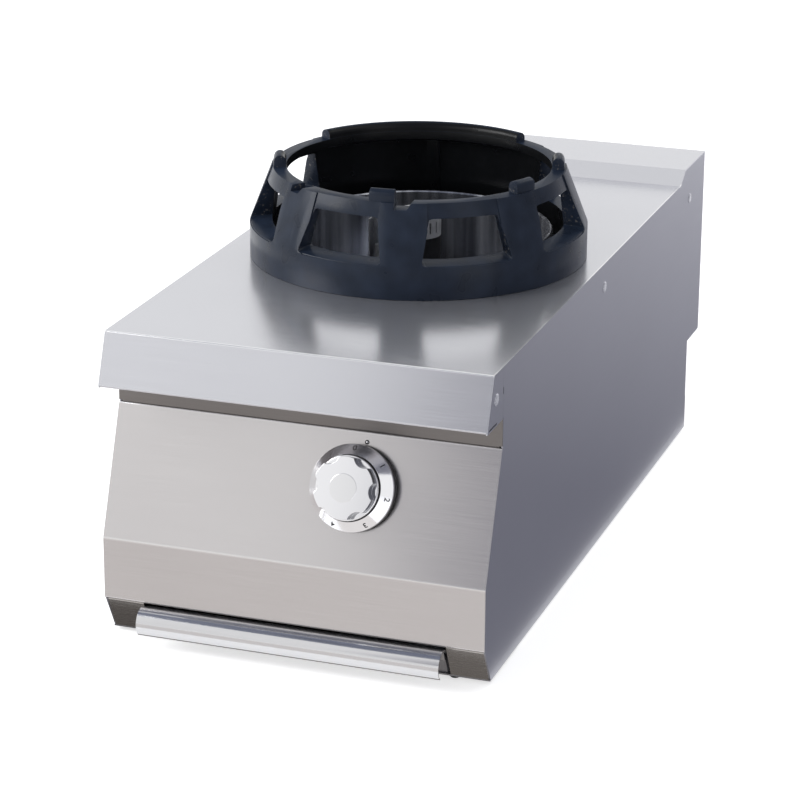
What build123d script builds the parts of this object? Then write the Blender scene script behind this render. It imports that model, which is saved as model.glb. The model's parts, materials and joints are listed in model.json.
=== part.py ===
from build123d import *
import math
import os

# Table-top gas wok range with one burner, one cast iron wok ring and a drip tray.
#
# Millimetres, +Z up, -Y to the front. The origin is the bottom centre of the whole range.
# Places along the depth are given as `back`, measured from the worktop's front top edge,
# and heights as `up`, measured from the worktop's top face, because both are read there.

# ---------------------------------------------------------------- casing
casing_width = 400.0
worktop_height = 320.0          # worktop's top face above the table
sheet = 1.5                     # stainless sheet of every panel
bend_radius = 2.0               # outside radius of a fold

nose_drop = 53.0                # the worktop's sloped front nose
nose_lean = 20.0
nose_return = 29.0              # how far the nose's underside runs back, to the front rail
rail_drop = 30.0                # recess between nose and control panel
rail_flange = 25.0
slope_drop = 129.0              # sloped part of the control panel
slope_run = 47.0
upright_drop = 65.0             # upright part of the control panel
panel_return = 20.0
apron_run = 21.0                # the apron slopes back down to the base
apron_flange = 25.0
glide_height = 4.0
glide_radius = 7.0
glide_flat_radius = 4.5
glide_inset = 39.0              # from the side
glide_setback = 9.0             # from the base panel's front and rear edges

body_back = 778.0               # outside of the rear panel
hood_back = 830.0               # outside of the rear hood
hood_drop = 207.0               # the hood's lower edge below the worktop
upstand_height = 14.0
upstand_foot_back = 714.0
upstand_top_back = 736.0
upstand_flange = 24.0           # tucked under the worktop
base_upturn = 40.0              # the base sheet's rear edge, folded up
rear_flange = 18.0              # the rear panel's top edge, folded forward

seam = 0.3                      # gap at a butt joint between two sheets
panel_gap = 0.3                 # running gap between a loose piece and its seat

skirt_drop = 38.0               # the worktop's side folds, inside the side panels
skirt_setback = 12.0            # from the front rail and from the upstand

slit_length = 24.0              # open corner left under each cheek by the folding
slit_width = 1.6
slit_back = 10.0
relief_length = 7.0             # bend relief at the cheek's seam
relief_width = 1.8
relief_drop = 21.0

# ---------------------------------------------------------------- screws
screw_head_radius = 6.0
screw_head_height = 1.2
screw_head_flat = 0.7           # share of the head's radius that is flat on top
screw_shank_radius = 2.5
screw_shank_length = 6.0
screw_hole_clearance = 0.05
side_screw_drop = 26.0
side_screw_backs = (7.0, 388.0, 760.0)

# ---------------------------------------------------------------- wok ring
ring_centre_back = 365.0
ring_turn = 13.0                # the ring stands turned by this on the worktop
ring_radius = 179.5
ring_band_height = 34.5
ring_height = 95.0
rim_outer_radius = 156.0
rim_width = 14.0
rim_depth = 9.0
ring_foot_wall = 16.0           # wall at the foot
ring_sill_wall = 22.0           # wall at the window sills
ring_neck_wall = 6.0            # wall under the rim
ring_neck_fall = 4.0
post_proud = 1.6                # posts stand out of the wall between them
post_count = 8
post_foot_angle = 12.5
post_top_angle = 17.5
window_top = 82.5
window_corner = 4.0
window_flare = 5.0              # degrees, the reveals open outwards
closed_bays = (3, 4)            # bays closed by the wall under the back lip
rib_angle = 5.0
rib_depth = 5.0
rib_foot = 20.0
rib_head = 83.0
lug_height = 12.2
lug_width = 12.9
lug_sweep = 9.8
lug_angles = (-87.5, -13.5, 46.4, 88.0)      # start of each lug from the front post
notch_length = 13.0
notch_ramp = 5.0
notch_depth = 6.5
notches = ((-51.0, 1), (-3.6, 1), (46.4, -1))   # wall of each notch, and its ramp's side
lip_start = 137.5
lip_sweep = 92.0
lip_height = 9.6

# ---------------------------------------------------------------- bowl and burner
worktop_hole_gap = 3.5          # between the bowl's collar and the worktop's hole
bowl_radius = 138.0             # inside of the bowl's wall
bowl_rim_height = 28.0
bowl_bead_radius = 2.4
bowl_depth = 85.0
bowl_floor_fall = 12.0
bowl_floor_hole_radius = 64.0
bowl_collar_gap = 3.0           # between the bowl's wall and its upstanding collar
flange_clearance = 0.7          # the ring's foot is centred by the bowl's flange
bowl_screw_radius = 4.0
bowl_screw_count = 4

burner_radius = 24.0
burner_body_top = 19.0
burner_flare_drop = 60.0        # the stem widens to the burner's head from here
burner_flare_rise = 24.0
burner_stem_radius = 20.0
burner_foot_radius = 24.0
burner_foot_height = 8.0
burner_wall = 5.0
burner_lug_width = 16.0         # carries the pilot bracket
burner_lug_height = 24.0
crown_height = 22.0
crown_wall = 4.0
crown_spigot = 6.0
port_count = 18
port_width = 2.2
port_height = 12.0
cap_height = 3.5
cap_spigot_height = 6.0
cap_clearance = 0.3

bracket_width = 50.0
bracket_drop = 175.0
bracket_wall = 2.0
bracket_rise = 60.0

mixer_drop = 140.0              # axis of the mixing tube
mixer_radius = 20.0
mixer_throat_radius = 13.0
mixer_mouth_radius = 25.0
mixer_wall = 2.0
mixer_length = 190.0
mixer_socket = 45.0             # how far the burner's socket stands out
mixer_entry = 18.0              # the tube's length inside the socket
shutter_gap = 16.0              # open air gap at the mouth
shutter_wall = 1.5
injector_radius = 5.0
injector_bore_radius = 1.4
holder_radius = 9.0
holder_length = 22.0

pilot_x = -31.0
pilot_setback = 36.5            # in front of the burner's centre
pilot_radius = 4.0
pilot_head_radius = 5.0
pilot_head_height = 18.0
pilot_top = 14.0
probe_x = -13.0
probe_radius = 2.5
small_foot_drop = 88.0          # where pilot and probe end below
plate_setback = 30.0            # front face of the bracket's plate
plate_top_drop = 44.0
probe_plate_right = -8.0
lug_drop = 62.0
shield_left = -42.0
shield_right = -19.0
shield_top = 42.0
shield_wing = 11.0
shield_wing_drop = 30.0
shield_wall = 1.5
clamp_width = 9.0
clamp_height = 11.0
clamp_drop = 72.0
line_drop = 109.0               # height of the two thin lines under the bowl

# ---------------------------------------------------------------- gas line
knob_x = 57.5
knob_down_slope = 55.5          # knob axis from the control panel's top fold
push_travel = 3.5

valve_width = 34.0
valve_depth = 42.0
bonnet_radius = 12.0
bonnet_length = 14.0
collar_radius = 8.0
collar_length = 4.0
collar_clearance = 0.05
stem_radius = 4.0
stem_clearance = 0.05
stem_reach = 30.0               # into the valve
stem_in_grip = 12.0
boss_radius = 9.0
boss_length = 13.0
side_boss_depth = 30.0          # gas inlet boss below the panel's back
small_boss_x = 8.0              # pilot and probe bosses
small_boss_radius = 5.0
small_boss_length = 8.0
small_boss_depth = 34.0

supply_radius = 8.6
supply_x = 165.0
supply_drop = 235.0
supply_bend = 20.0
inlet_thread_radius = 10.48
inlet_bore_radius = 8.0
inlet_thread_length = 19.0      # free thread behind the lock nut
inlet_nut_across = 30.0
inlet_nut_length = 10.0
lock_nut_length = 6.0
burner_pipe_radius = 5.0
burner_pipe_bore = 3.8
burner_pipe_bend = 12.0
pilot_pipe_radius = 2.5
lead_radius = 1.6
thin_bend = 8.0
thin_rise = 34.0
thin_turn_back = 110.0
clip_width = 14.0
clip_wall = 2.5
clip_backs = (250.0, 600.0)

# ---------------------------------------------------------------- knob
grip_radius = 31.0
grip_height = 38.0              # face above the control panel
grip_skirt_radius = 33.0
grip_skirt_height = 4.0
scallop_count = 6
scallop_radius = 11.0
scallop_centre = 37.0
grip_edge = 1.2
dial_radius = 43.0
dial_gap = 4.2                  # under the dial, more than the push travel
dial_edge = 8.4
dial_rise = 9.0                 # the cone above the edge
dial_wall = 2.5
dial_inner_radius = 24.0
neck_radius = 27.0
neck_height = 1.6               # black gap between dial and grip
disc_radius = 14.0
disc_sink = 1.0
stud_radius = 2.2
stud_height = 1.0
stud_x = 6.5
stud_up = 45.6
panel_hole_radius = 10.0

# ---------------------------------------------------------------- drip tray
tray_width = 312.0
tray_length = 620.0
tray_wall = 1.2
tray_height = 30.0
tray_front_height = 32.0        # its front wall slopes as the apron does
tray_side_clearance = 3.5
runner_height = 16.0
runner_width = 18.0
runner_gap = 0.5
handle_length = 318.0
handle_top_height = 35.5        # its top edge above the table
handle_height = 22.0
handle_front_back = -35.5       # its foremost line, in front of the worktop's edge
handle_foot_back = -30.0
handle_crest_rise = 1.5         # the foremost line above the handle's middle
handle_wall = 1.5
handle_hook = 12.0              # flange that lies against the tray's front wall

# ---------------------------------------------------------------- derived places
half = casing_width / 2
front_edge_y = -(hood_back + handle_front_back) / 2   # centres the range on the origin
rail_foot = -(nose_drop + rail_drop)
slope_foot = rail_foot - slope_drop
panel_foot = slope_foot - upright_drop
base_up = glide_height - worktop_height
panel_face = nose_return - slope_run                  # back of the upright panel's face
apron_foot = panel_face + apron_run
inner = half - sheet                                  # inside of the side panels
worktop_back = upstand_foot_back - bend_radius / 2     # clear of the upstand's fold
slope_length = math.hypot(slope_run, slope_drop)
slope_sin = slope_run / slope_length
slope_cos = slope_drop / slope_length
base_top = base_up + sheet
rear_inside = body_back - 2 * sheet                    # inner face of the rear panel
tray_floor = base_top + panel_gap
apron_face = panel_face + 2 * sheet                   # top of the apron's slope
apron_lean = (apron_foot - apron_face) / (panel_foot - base_top)
tray_front_foot = apron_foot + sheet
mixer_start = mixer_socket - mixer_entry
mixer_end = mixer_start + mixer_length
holder_face = mixer_end + shutter_gap + 2 * shutter_wall
collar_top = -sheet - 1.0
worktop_hole_radius = bowl_radius + sheet + bowl_collar_gap + worktop_hole_gap
collar_well = 1.0 + collar_length + push_travel + 0.5
dial_top = dial_gap + dial_edge + dial_rise
grip_foot = dial_top + neck_height
stem_top = dial_top + stem_in_grip


def y_of(back):
    return front_edge_y + back


def z_of(up):
    return worktop_height + up


def side_points(points):
    return [(y_of(back), z_of(up)) for back, up in points]


def side_face(points):
    """Flat face in the middle plane from (back, up) points."""
    return Plane.YZ * make_face(Polyline(*side_points(points), close=True))


def folded(points, half_width, side=Side.LEFT, wall=sheet, radius=bend_radius):
    """Folded sheet across the range; its outer face follows the (back, up) points."""
    line = FilletPolyline(*side_points(points), radius=radius)
    outline = line.wire().offset_2d(wall, side=side)
    return extrude(Plane.YZ * make_face(outline), half_width, both=True)


def block(x0, x1, back0, back1, up0, up1):
    """Plain box between two corners."""
    middle = ((x0 + x1) / 2, y_of((back0 + back1) / 2), z_of((up0 + up1) / 2))
    return Pos(*middle) * Box(abs(x1 - x0), abs(back1 - back0), abs(up1 - up0))


def turned(profile, centre_back=ring_centre_back, angle=360.0, start=0.0):
    """Turn an (r, up) profile about the burner's upright axis; start counts from the front."""
    section = Plane.XZ * make_face(Polyline(*profile, close=True))
    body = revolve(section, Axis.Z, angle)
    return Pos(0, y_of(centre_back), z_of(0)) * Rot(0, 0, start - 90) * body


def about_burner(x, setback, up):
    return Pos(x, y_of(ring_centre_back - setback), z_of(up))


def spot(x, back, up):
    return (x, y_of(back), z_of(up))


def pipe(points, bend, outer):
    """Bent pipe along straight runs joined by arcs."""
    path = FilletPolyline(*[spot(*p) for p in points], radius=bend)
    start = Plane(origin=path @ 0, z_dir=path % 0)
    return sweep(start * Circle(outer), path=path)


# The control panel's knob axis: x to the right, y up the slope, z out of the panel.
knob_back = nose_return - knob_down_slope * slope_sin
knob_up = rail_foot - knob_down_slope * slope_cos
knob_plane = Plane(
    origin=spot(knob_x, knob_back, knob_up),
    x_dir=(1, 0, 0),
    z_dir=(0, -slope_cos, slope_sin),
)


def knob_spot(x, y, z):
    """(x, back, up) of a point given on the knob's own axes."""
    point = knob_plane.from_local_coords(Vector(x, y, z))
    return (point.X, point.Y - front_edge_y, point.Z - worktop_height)


# ---------------------------------------------------------------- casing pieces
def screw(head_radius=screw_head_radius, length=screw_shank_length):
    """Low screw with a sloping edge, head on +Z, bearing face at the origin."""
    profile = make_face(Polyline(
        (0, -length), (screw_shank_radius, -length), (screw_shank_radius, 0),
        (head_radius, 0), (head_radius, screw_head_height / 3),
        (head_radius * screw_head_flat, screw_head_height), (0, screw_head_height),
        close=True))
    return revolve(Plane.XZ * profile, Axis.Z, 360)


def side_screw_places():
    """Bearing face of each side screw, with its head outwards."""
    for hand in (-1, 1):
        for back in side_screw_backs:
            yield Pos(*spot(hand * half, back, -side_screw_drop)) * Rot(0, hand * 90, 0)


def screw_holes(places, length=screw_shank_length):
    radius = screw_shank_radius + screw_hole_clearance
    return [place * Pos(0, 0, -length / 2) * Cylinder(radius, length + 2) for place in places]


def cheek_outline():
    return side_face([(0, 0), (-nose_lean, -nose_drop), (nose_return, -nose_drop),
                      (nose_return, 0)])


def worktop():
    top = folded([(worktop_back, 0), (0, 0), (-nose_lean, -nose_drop),
                  (nose_return, -nose_drop)], half)
    for hand in (-1, 1):
        cheek = extrude(cheek_outline(), sheet)
        cheek = Pos(hand * half - (sheet if hand > 0 else 0), 0, 0) * cheek
        top += cheek
        top += block(hand * inner, hand * (inner - sheet), nose_return + skirt_setback,
                     upstand_foot_back - upstand_flange - skirt_setback, -skirt_drop, -sheet / 2)
        top -= block(hand * (inner - 1), hand * (half + 1), slit_back - slit_length, slit_back,
                     -nose_drop + sheet, -nose_drop + sheet + slit_width)
    top -= about_burner(0, 0, 0) * Cylinder(worktop_hole_radius, 10 * sheet)
    for hole in screw_holes(side_screw_places()):
        top -= hole
    for hole in screw_holes(bowl_screw_places()):
        top -= hole
    return top


def rear_upstand():
    """Upstand and rear hood, one folded sheet tucked under the worktop's rear edge."""
    hood = folded([(upstand_foot_back - upstand_flange, -sheet),
                   (upstand_foot_back, -sheet),
                   (upstand_top_back, upstand_height), (hood_back, upstand_height),
                   (hood_back, -hood_drop), (body_back, -hood_drop)],
                  half, side=Side.RIGHT)
    return notched(hood)


def body_outline():
    return side_face([(nose_return + seam - sheet, 0), (nose_return + seam - sheet, -nose_drop),
                      (nose_return, -nose_drop), (nose_return, rail_foot),
                      (panel_face, slope_foot), (panel_face, panel_foot),
                      (apron_foot, base_up), (body_back, base_up), (body_back, -hood_drop),
                      (hood_back, -hood_drop), (hood_back, upstand_height),
                      (upstand_top_back, upstand_height), (upstand_foot_back, 0)])


def side_blank(hand):
    """Plain side sheet before its holes; it stands inside every folded edge."""
    outline = offset(body_outline(), amount=-sheet, kind=Kind.INTERSECTION)
    return Pos(hand * half - (sheet if hand > 0 else 0), 0, 0) * extrude(outline, sheet)


def notched(body):
    """Cut a folded sheet's flanges back where the side sheets stand."""
    return body - side_blank(-1) - side_blank(1)


def side_panel(hand):
    panel = side_blank(hand)
    front = nose_return + seam
    panel -= block(hand * (inner - 1), hand * (half + 1), front - 1, front + relief_width,
                   -relief_drop - relief_length, -relief_drop)
    for hole in screw_holes(side_screw_places()):
        panel -= hole
    return panel


def front_rail():
    """Channel that carries the worktop's front and shows in the recess under the nose."""
    return folded([(nose_return + rail_flange, -sheet), (nose_return, -sheet),
                   (nose_return, rail_foot), (nose_return + rail_flange, rail_foot)],
                  inner - sheet - panel_gap, side=Side.LEFT)


def rail_ends():
    """The rail's face runs on across the edges of the side panels."""
    return block(-half, half, nose_return, nose_return + sheet, rail_foot + bend_radius,
                 -nose_drop)


def control_panel():
    panel = folded([(nose_return + panel_return, rail_foot), (nose_return, rail_foot),
                    (panel_face, slope_foot), (panel_face, panel_foot),
                    (panel_face + panel_return, panel_foot)], half)
    hole = knob_plane * Cylinder(panel_hole_radius, 6 * sheet)
    stud = knob_plane * Pos(stud_x, stud_up, 0) * Cylinder(stud_radius / 2, 6 * sheet)
    return notched(panel) - hole - stud


def front_apron():
    apron = folded([(apron_face + apron_flange, panel_foot), (apron_face, panel_foot),
                    (apron_foot, base_top)], inner)
    gap = tray_width / 2 + tray_side_clearance
    opening = block(-gap, gap, apron_face - 5, apron_foot + 5, base_up - 5,
                    panel_foot - sheet)
    return apron - opening


def base_panel():
    """Base sheet with its rear edge folded up behind the rear panel."""
    return notched(folded([(apron_foot, base_up), (body_back, base_up),
                           (body_back, base_up + base_upturn)], half, side=Side.LEFT))


def rear_panel():
    """Upright sheet between the side panels, with the gas inlet's hole."""
    wide = inner - seam
    face = block(-wide, wide, rear_inside, rear_inside + sheet,
                 base_top + bend_radius, -3 * sheet)
    flange = block(-wide, wide, body_back - rear_flange, rear_inside, -4 * sheet, -3 * sheet)
    hole = Pos(*spot(supply_x, body_back, -supply_drop)) * Rot(90, 0, 0)
    return face + flange - hole * Cylinder(inlet_thread_radius + panel_gap, 12 * sheet)


def base_glides():
    glides = []
    for hand in (-1, 1):
        for back in (apron_foot + glide_setback, body_back - glide_setback):
            glides.append(Pos(*spot(hand * (half - glide_inset), back, base_up)) * glide())
    return Compound(children=glides)


def glide():
    """Domed glide with a small flat foot; its seat is at the origin."""
    rise = (glide_radius ** 2 - glide_flat_radius ** 2 - glide_height ** 2) / (2 * glide_height)
    ball_radius = math.hypot(glide_radius, rise)
    ball = Pos(0, 0, rise) * Sphere(ball_radius)
    return ball & Pos(0, 0, -glide_height / 2) * Cylinder(glide_radius, glide_height)


def side_screws():
    return Compound(children=[place * screw() for place in side_screw_places()])


# ---------------------------------------------------------------- wok ring
def ring_wall_radius(up):
    """Outer radius of the wall between the posts at a height."""
    share = (up - ring_band_height) / (ring_height - ring_band_height)
    return ring_radius - post_proud + share * (rim_outer_radius - ring_radius)


def ring_section():
    """Half section through a post: foot, band, cone, rim and inner wall."""
    neck = ring_height - rim_depth
    rim_inner = rim_outer_radius - post_proud - rim_width
    return [
        (ring_radius, 0), (ring_radius, ring_band_height),
        (rim_outer_radius, ring_height), (rim_inner, ring_height), (rim_inner, neck),
        (ring_wall_radius(neck) - ring_neck_wall, neck - ring_neck_fall),
        (ring_wall_radius(ring_band_height) - ring_sill_wall, ring_band_height),
        (ring_radius - ring_foot_wall, 0),
    ]


def ring_turned(profile, angle=360.0, start=0.0):
    return Pos(0, 0, panel_gap) * turned(profile, angle=angle, start=start)


def ring_turn_to(angle):
    """Place that carries +X of the ring's own frame to an angle from the front."""
    return Pos(0, y_of(ring_centre_back), z_of(panel_gap)) * Rot(0, 0, angle - 90)


def ring_window(middle):
    """Cutter for one window: a rounded trapezium driven in from outside."""
    pitch = 360.0 / post_count
    low = math.radians(pitch - post_foot_angle) / 2
    high = math.radians(pitch - post_top_angle) / 2
    foot = ring_radius * math.sin(low)
    head = ring_wall_radius(window_top) * math.sin(high)
    sill = ring_band_height
    outline = Polygon((-foot, sill), (foot, sill), (head, window_top), (-head, window_top),
                      align=None)
    outline = fillet(outline.vertices(), window_corner)
    reach = ring_radius + 4
    outside = Plane(origin=(reach, 0, 0), x_dir=(0, -1, 0), z_dir=(-1, 0, 0))
    cutter = extrude(outside * outline, 2.5 * ring_sill_wall, taper=window_flare)
    return ring_turn_to(middle) * cutter


def lug_section(height, width):
    """Flat-footed ridge with a half-round top, on the rim."""
    middle = rim_outer_radius - post_proud - rim_width / 2
    crown = width / 2
    with BuildSketch(Plane.XZ) as section:
        with BuildLine():
            Polyline((middle - crown, ring_height - 2), (middle + crown, ring_height - 2),
                     (middle + crown, ring_height + height - crown))
            ThreePointArc((middle + crown, ring_height + height - crown),
                          (middle, ring_height + height),
                          (middle - crown, ring_height + height - crown))
            Line((middle - crown, ring_height + height - crown),
                 (middle - crown, ring_height - 2))
        make_face()
    return section.sketch


def ring_ridge(height, width, sweep_angle, start):
    ridge = revolve(lug_section(height, width), Axis.Z, sweep_angle)
    return ring_turn_to(start) * ridge


def ring_notch(start, hand):
    """Cutter for a notch in the rim: a steep wall at `start` and a ramp beyond it."""
    low = ring_height - notch_depth
    over = ring_height + 2 * notch_depth
    outline = Polygon((0, low), (hand * notch_length, low),
                      (hand * (notch_length + notch_ramp * (over - low) / notch_depth), over),
                      (0, over), align=None)
    inside = Plane(origin=(rim_outer_radius - rim_width - 8, 0, 0), x_dir=(0, 1, 0),
                   z_dir=(1, 0, 0))
    return ring_turn_to(start) * extrude(inside * outline, rim_width + 16)


def wok_ring():
    """Cast ring: band, posts, windows, closed back with its rib, lugs and notches."""
    pitch = 360.0 / post_count
    ring = ring_turned(ring_section())
    over = ring_height + 5
    for bay in range(post_count):
        start = ring_turn + bay * pitch
        recess = [(ring_wall_radius(ring_band_height), ring_band_height),
                  (ring_radius + 5, ring_band_height), (ring_radius + 5, over),
                  (ring_wall_radius(over), over)]
        ring -= ring_turned(recess, pitch - post_top_angle, start + post_top_angle / 2)
        if bay not in closed_bays:
            ring -= ring_window(start + pitch / 2)
    rib = [(ring_wall_radius(rib_foot) - ring_sill_wall - rib_depth, rib_foot),
           (ring_wall_radius(rib_foot) - 5, rib_foot),
           (ring_wall_radius(rib_head) - 3, rib_head),
           (ring_wall_radius(rib_head) - ring_neck_wall - rib_depth, rib_head)]
    ring += ring_turned(rib, rib_angle, ring_turn + 180 - rib_angle / 2)
    for start in lug_angles:
        ring += ring_ridge(lug_height, lug_width, lug_sweep, ring_turn + start)
    ring += ring_ridge(lip_height, lug_width, lip_sweep, ring_turn + lip_start)
    for start, hand in notches:
        ring -= ring_notch(ring_turn + start, hand)
    return ring


# ---------------------------------------------------------------- bowl and burner
def bowl_screw_places():
    """Heads up on the bowl's flange."""
    flange_outer = ring_radius - ring_foot_wall - flange_clearance
    collar = bowl_radius + sheet + bowl_collar_gap
    radius = (flange_outer + collar) / 2
    for turn in range(bowl_screw_count):
        angle = math.radians(45 + turn * 360 / bowl_screw_count)
        place = about_burner(radius * math.cos(angle), radius * math.sin(angle), sheet)
        yield place


def burner_bowl():
    """Polished bowl: flange on the worktop, collar, rolled rim, wall and sloping floor."""
    flange_outer = ring_radius - ring_foot_wall - flange_clearance
    collar = bowl_radius + sheet + bowl_collar_gap
    rim = bowl_rim_height - bowl_bead_radius
    shell = [
        (flange_outer, 0), (flange_outer, sheet), (collar, sheet), (collar, rim),
        (bowl_radius, rim), (bowl_radius, -bowl_depth + sheet),
        (bowl_floor_hole_radius, -bowl_depth - bowl_floor_fall + sheet),
        (bowl_floor_hole_radius, -bowl_depth - bowl_floor_fall),
        (bowl_radius + sheet, -bowl_depth), (bowl_radius + sheet, rim - sheet),
        (collar - sheet, rim - sheet), (collar - sheet, 0),
    ]
    middle = (bowl_radius + collar) / 2
    turns = [math.radians(22.5 + 45 * side) for side in range(8)]
    bead = turned([(middle + bowl_bead_radius * math.cos(a), rim + bowl_bead_radius * math.sin(a))
                   for a in turns])
    bowl = turned(shell) + bead
    for hole in screw_holes(bowl_screw_places(), 2 * sheet):
        bowl -= hole
    return bowl


def bowl_screws():
    length = 4 * sheet
    return Compound(children=[p * screw(bowl_screw_radius, length) for p in bowl_screw_places()])


def burner_body():
    """Cast burner: foot, stem with the mixing tube's socket, flared head, hollow."""
    foot = -bracket_drop + bracket_wall
    flare = -burner_flare_drop
    head = flare + burner_flare_rise
    bore = burner_stem_radius - burner_wall
    sump = -mixer_drop - bore
    outside = [
        (0, foot), (burner_foot_radius, foot), (burner_foot_radius, foot + burner_foot_height),
        (burner_stem_radius, foot + 2 * burner_foot_height), (burner_stem_radius, flare),
        (burner_radius, head), (burner_radius, burner_body_top), (0, burner_body_top),
    ]
    inside = [
        (0, sump), (bore, sump), (bore, flare), (burner_radius - burner_wall, head),
        (burner_radius - burner_wall, burner_body_top + 1), (0, burner_body_top + 1),
    ]
    body = turned(outside)
    body += mixer_rod(mixer_radius + burner_wall, 0, mixer_socket)
    lug_back = ring_centre_back - plate_setback + shield_wall
    body += block(probe_plate_right - burner_lug_width, probe_plate_right, lug_back,
                  ring_centre_back - burner_stem_radius / 2,
                  -lug_drop - burner_lug_height, -lug_drop)
    body -= turned(inside)
    body -= mixer_rod(bore, 0, mixer_socket + 1)
    return body - mixer_rod(mixer_radius, mixer_start, mixer_socket + 1)


def burner_crown():
    """Steel crown with upright flame ports, spigoted into the burner's neck."""
    base = burner_body_top
    top = base + crown_height
    bore = burner_radius - burner_wall - crown_wall
    ring = turned([
        (bore, base - crown_spigot), (burner_radius - burner_wall, base - crown_spigot),
        (burner_radius - burner_wall, base), (burner_radius, base), (burner_radius, top),
        (burner_radius - crown_wall, top), (burner_radius - crown_wall, base + crown_wall),
        (bore, base + crown_wall)])
    middle = base + crown_height / 2
    slots = [about_burner(0, 0, middle) * Rot(0, 0, i * 360 / port_count)
             * Pos(burner_radius - crown_wall / 2, 0, 0)
             * Box(3 * crown_wall, port_width, port_height) for i in range(port_count)]
    return ring - slots


def burner_cap():
    """Lift-off cap: a dished disc with a locating spigot."""
    seat = burner_body_top + crown_height + cap_clearance
    bore = burner_radius - crown_wall - cap_clearance
    return turned([
        (0, seat - cap_spigot_height), (bore - 3, seat - cap_spigot_height),
        (bore, seat - cap_spigot_height + 3), (bore, seat), (burner_radius, seat),
        (burner_radius, seat + cap_height - 1.2), (burner_radius - 1.2, seat + cap_height),
        (burner_radius * 0.55, seat + cap_height), (burner_radius * 0.4, seat + cap_height - 1.5),
        (0, seat + cap_height - 1.5)])


def burner_bracket():
    """Strap across the casing; its ends turn up against the side panels."""
    y0 = y_of(ring_centre_back)
    low, high = z_of(-bracket_drop), z_of(-bracket_drop + bracket_rise)
    line = FilletPolyline((-inner, high), (-inner, low), (inner, low), (inner, high),
                          radius=2 * bend_radius)
    outline = line.wire().offset_2d(bracket_wall, side=Side.LEFT)
    strap = extrude(Plane.XZ * make_face(outline), bracket_width / 2, both=True)
    return Pos(0, y0, 0) * strap


def mixer_revolve(profile):
    """Turn a (distance towards the front, r) profile about the mixing tube's axis."""
    section = make_face(Polyline(*[(r, d) for d, r in profile], close=True))
    body = revolve(section, Axis.Y, 360)
    return about_burner(0, 0, -mixer_drop) * Rot(0, 0, 180) * body


def mixer_rod(radius, near, far):
    """Rod along the mixing tube's axis, between two distances in front of the burner."""
    return about_burner(0, (near + far) / 2, -mixer_drop) * Rot(90, 0, 0) \
        * Cylinder(radius, far - near)


def mixing_tube():
    """Venturi tube with its bell mouth towards the front."""
    outer, throat, mouth = mixer_radius, mixer_throat_radius, mixer_mouth_radius
    wall = mixer_wall
    return mixer_revolve([
        (mixer_start, outer), (mixer_start + 60, outer), (mixer_end - 45, throat + wall),
        (mixer_end - 25, throat + wall), (mixer_end, mouth), (mixer_end, mouth - wall),
        (mixer_end - 25, throat), (mixer_end - 45, throat), (mixer_start + 60, outer - wall),
        (mixer_start, outer - wall)])


def air_shutter():
    """Cage that carries the injector in front of the mouth and sets the air gap."""
    near, far = mixer_end, mixer_end + shutter_gap
    rim = mixer_mouth_radius
    cage = mixer_revolve([(near, rim), (near, rim - 4), (near + 3, rim - 4), (near + 3, rim)])
    plate = mixer_revolve([(far, injector_radius + 0.02), (far, rim),
                           (far + shutter_wall * 2, rim),
                           (far + shutter_wall * 2, injector_radius + 0.02)])
    for turn in range(3):
        angle = math.radians(90 + turn * 120)
        leg = about_burner((rim - 2) * math.cos(angle), (near + far) / 2 + 1,
                           -mixer_drop + (rim - 2) * math.sin(angle))
        cage += leg * Rot(90, 0, 0) * Cylinder(1.8, shutter_gap + 2)
    return cage + plate


def injector():
    """Brass gas jet, drilled through, screwed through the shutter's plate."""
    tip = mixer_end + 2
    return mixer_revolve([
        (tip, injector_bore_radius), (tip, injector_radius - 1.5), (tip + 3, injector_radius),
        (holder_face, injector_radius), (holder_face, injector_bore_radius)])


def injector_holder():
    """Brass union between the burner pipe and the injector."""
    return mixer_revolve([
        (holder_face, burner_pipe_bore), (holder_face, holder_radius),
        (holder_face + holder_length, holder_radius),
        (holder_face + holder_length, burner_pipe_radius),
        (holder_face + holder_length / 2, burner_pipe_radius),
        (holder_face + holder_length / 2, burner_pipe_bore)])


# ---------------------------------------------------------------- pilot and probe
def pilot_shield():
    """Folded bracket on the burner's lug: a plate, and a shield round the pilot."""
    face = ring_centre_back - plate_setback
    plate = block(shield_left, probe_plate_right, face, face + shield_wall,
                  -lug_drop - burner_lug_height, -plate_top_drop)
    shield = block(shield_left, shield_right, face, face + shield_wall, -plate_top_drop - 1,
                   shield_top)
    for x in (shield_left, shield_right - shield_wall):
        shield += block(x, x + shield_wall, face - shield_wing, face + shield_wall,
                        -shield_wing_drop, shield_top)
    return plate + shield


def upright_rod(x, setback, radius, up0, up1):
    middle = about_burner(x, setback, (up0 + up1) / 2)
    return middle * Cylinder(radius, abs(up1 - up0))


def small_clamp(x):
    """Clamp from the bracket's plate round a pilot or a probe."""
    return block(x - clamp_width / 2, x + clamp_width / 2, ring_centre_back - pilot_setback,
                 ring_centre_back - plate_setback, -clamp_drop, -clamp_drop + clamp_height)


def pilot_burner():
    """Pilot: drilled stem with its hexagon, clamp and head."""
    neck = pilot_top - pilot_head_height
    rod = upright_rod(pilot_x, pilot_setback, pilot_radius, -small_foot_drop, neck)
    head = upright_rod(pilot_x, pilot_setback, pilot_head_radius, neck, pilot_top)
    nut = about_burner(pilot_x, pilot_setback, -small_foot_drop)
    hexagon = extrude(RegularPolygon(pilot_radius + 2, 6), 2 * pilot_radius)
    bore = upright_rod(pilot_x, pilot_setback, pilot_radius / 3, -small_foot_drop - 1,
                       pilot_top + 1)
    return rod + head + nut * hexagon + small_clamp(pilot_x) - bore


def thermocouple():
    """Flame probe with a round tip."""
    rod = upright_rod(probe_x, pilot_setback, probe_radius, -small_foot_drop, pilot_top)
    tip = about_burner(probe_x, pilot_setback, pilot_top) * Sphere(probe_radius)
    return rod + small_clamp(probe_x) + tip


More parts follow.
